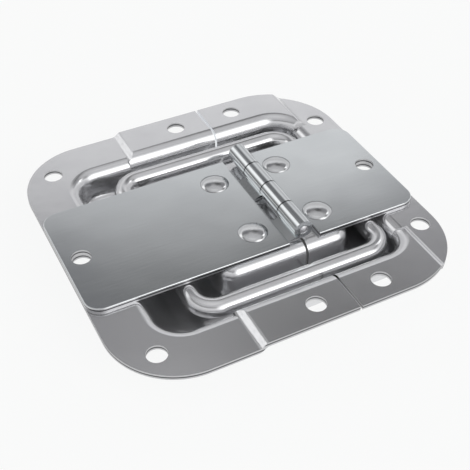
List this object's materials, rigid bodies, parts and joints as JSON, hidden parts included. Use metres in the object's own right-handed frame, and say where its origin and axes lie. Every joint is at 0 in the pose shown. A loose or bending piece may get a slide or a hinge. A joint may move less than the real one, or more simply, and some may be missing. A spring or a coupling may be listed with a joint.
{
  "type": "recessed lid stay hinge",
  "caption": "Recessed steel case hinge: two pressed dishes joined by a pinned barrel, with a loose closed ring that stays the open lid.",
  "frame": {"origin": "middle of the four seam screw holes, on the split, level with the face of the low flanges", "axes": "+X across the split towards the lid half, +Y along the split and the hinge pin, +Z out of the case wall, on the side of the cover plates"},
  "size_m": [0.0903, 0.0888, 0.0154],
  "materials": {
    "dish_steel": "bright zinc plate over deep-drawn sheet",
    "plate_steel": "bright zinc plate over flat sheet",
    "pin_steel": "bright zinc plate over turned rod",
    "ring_steel": "bright zinc plate over bent round bar",
    "rivet_steel": "bright zinc plate, domed and set"
  },
  "bodies": {
    "base": {"base_dish": "dish_steel", "base_plate": "plate_steel", "hinge_pin": "pin_steel", "base_rivet_front": "rivet_steel", "base_rivet_back": "rivet_steel"},
    "lid": {"lid_dish": "dish_steel", "lid_plate": "plate_steel", "lid_rivet_front": "rivet_steel", "lid_rivet_back": "rivet_steel"},
    "ring": {"stay_ring": "ring_steel"}
  },
  "joints": [
    {"name": "lid_fold", "type": "hinge", "parent": "base", "child": "lid", "pos_m": [0, 0, 0.0036], "axis": [0, -1, 0], "range_deg": [0, 90]},
    {"name": "ring_tilt", "type": "hinge", "parent": "base", "child": "ring", "pos_m": [-0.02857, 0, -0.00735], "axis": [0, -1, 0], "range_deg": [0, 33]}
  ],
  "couplings": [
    {"joint": "ring_tilt", "follows": "lid_fold", "ratio": 0.36638}
  ]
}
